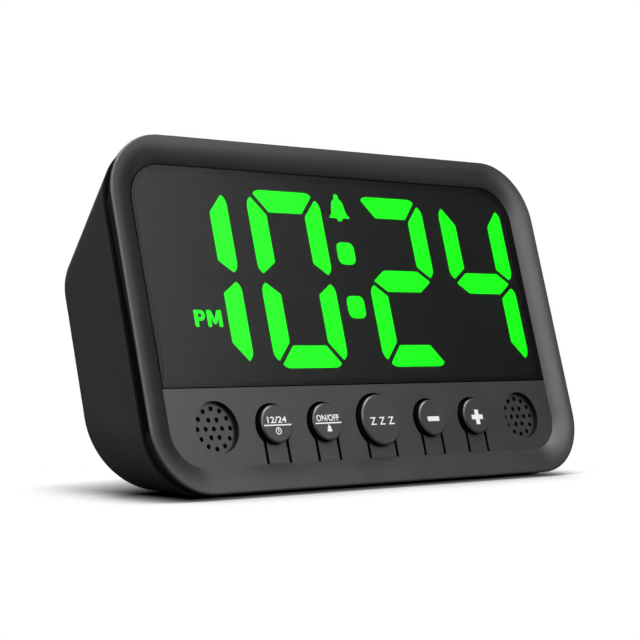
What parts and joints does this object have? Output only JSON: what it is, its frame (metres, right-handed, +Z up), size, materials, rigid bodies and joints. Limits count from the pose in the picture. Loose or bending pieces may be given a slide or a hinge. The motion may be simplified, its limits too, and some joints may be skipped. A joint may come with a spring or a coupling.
{
  "type": "digital alarm clock",
  "caption": "Free-standing digital alarm clock: leaning bezel with a dark display window, round keys on flexing tongues, sound grilles and a sloping rear shell.",
  "frame": {"origin": "middle of the bounding box on the ground, under the feet", "axes": "+Z up, +X to the right as seen from the front, -Y towards the person who reads the display"},
  "size_m": [0.16, 0.05, 0.0957],
  "materials": {
    "housing_grey": "fine satin moulded plastic",
    "key_grey": "fine satin moulded plastic with printed marks",
    "shell_grey": "matte moulded plastic",
    "lens_tint": "polished smoke tint",
    "lit_green": "glowing window",
    "unlit_window": "smoked window",
    "reflector_black": "matte black",
    "board_green": "solder mask",
    "switch_black": "matte",
    "plunger_grey": "smooth",
    "chip_black": "matte",
    "capacitor_sleeve": "shrink sleeve",
    "bright_metal": "bright plated",
    "pin_metal": "bright",
    "screw_steel": "zinc plated",
    "foot_rubber": "matte rubber"
  },
  "bodies": {
    "case": {"front_housing": "housing_grey", "display_lens": "lens_tint", "lit_segments": "lit_green", "unlit_segments": "unlit_window", "colon_dots": "lit_green", "alarm_light": "lit_green", "pm_light": "lit_green", "display_reflector": "reflector_black", "main_board": "board_green", "switch_bodies": "switch_black", "left_sounder": "switch_black", "right_sounder": "switch_black", "clock_chip": "chip_black", "driver_chip": "chip_black", "timing_crystal": "bright_metal", "smoothing_capacitor": "capacitor_sleeve", "dc_jack": "switch_black", "dc_jack_pin": "pin_metal", "rear_shell": "shell_grey", "coin_cell": "bright_metal", "cell_spring_contact": "bright_metal", "cell_side_contact": "bright_metal", "housing_screws": "screw_steel", "board_screws": "screw_steel", "rubber_feet": "foot_rubber"},
    "time_key": {"time_key": "key_grey"},
    "alarm_key": {"alarm_key": "key_grey"},
    "snooze_key": {"snooze_key": "key_grey"},
    "minus_key": {"minus_key": "key_grey"},
    "plus_key": {"plus_key": "key_grey"},
    "time_plunger": {"time_plunger": "plunger_grey"},
    "alarm_plunger": {"alarm_plunger": "plunger_grey"},
    "snooze_plunger": {"snooze_plunger": "plunger_grey"},
    "minus_plunger": {"minus_plunger": "plunger_grey"},
    "plus_plunger": {"plus_plunger": "plunger_grey"},
    "battery_cover": {"battery_cover": "shell_grey"}
  },
  "joints": [
    {"name": "time_key_press", "type": "hinge", "parent": "case", "child": "time_key", "pos_m": [-0.0381, -0.01937, 0.00779], "axis": [-1, 0, 0], "range_deg": [0, 2.5], "stiffness_Nm_per_rad": 0.4},
    {"name": "alarm_key_press", "type": "hinge", "parent": "case", "child": "alarm_key", "pos_m": [-0.02005, -0.01937, 0.00779], "axis": [-1, 0, 0], "range_deg": [0, 2.5], "stiffness_Nm_per_rad": 0.4},
    {"name": "snooze_key_press", "type": "hinge", "parent": "case", "child": "snooze_key", "pos_m": [0, -0.01937, 0.00779], "axis": [-1, 0, 0], "range_deg": [0, 2.5], "stiffness_Nm_per_rad": 0.4},
    {"name": "minus_key_press", "type": "hinge", "parent": "case", "child": "minus_key", "pos_m": [0.02005, -0.01937, 0.00779], "axis": [-1, 0, 0], "range_deg": [0, 2.5], "stiffness_Nm_per_rad": 0.4},
    {"name": "plus_key_press", "type": "hinge", "parent": "case", "child": "plus_key", "pos_m": [0.0381, -0.01937, 0.00779], "axis": [-1, 0, 0], "range_deg": [0, 2.5], "stiffness_Nm_per_rad": 0.4},
    {"name": "time_plunger_slide", "type": "slide", "parent": "case", "child": "time_plunger", "axis": [0, 0.962, -0.273], "range_m": [0, 0.000455]},
    {"name": "alarm_plunger_slide", "type": "slide", "parent": "case", "child": "alarm_plunger", "axis": [0, 0.962, -0.273], "range_m": [0, 0.000455]},
    {"name": "snooze_plunger_slide", "type": "slide", "parent": "case", "child": "snooze_plunger", "axis": [0, 0.962, -0.273], "range_m": [0, 0.000455]},
    {"name": "minus_plunger_slide", "type": "slide", "parent": "case", "child": "minus_plunger", "axis": [0, 0.962, -0.273], "range_m": [0, 0.000455]},
    {"name": "plus_plunger_slide", "type": "slide", "parent": "case", "child": "plus_plunger", "axis": [0, 0.962, -0.273], "range_m": [0, 0.000455]},
    {"name": "battery_cover_turn", "type": "hinge", "parent": "case", "child": "battery_cover", "pos_m": [0, 0.01569, 0.03318], "axis": [0, 0.962, -0.273], "range_deg": [0, 50]}
  ],
  "couplings": [
    {"joint": "time_key_press", "follows": "time_plunger_slide", "rad_per_m": 95.693},
    {"joint": "alarm_key_press", "follows": "alarm_plunger_slide", "rad_per_m": 95.693},
    {"joint": "snooze_key_press", "follows": "snooze_plunger_slide", "rad_per_m": 95.693},
    {"joint": "minus_key_press", "follows": "minus_plunger_slide", "rad_per_m": 95.693},
    {"joint": "plus_key_press", "follows": "plus_plunger_slide", "rad_per_m": 95.693}
  ]
}
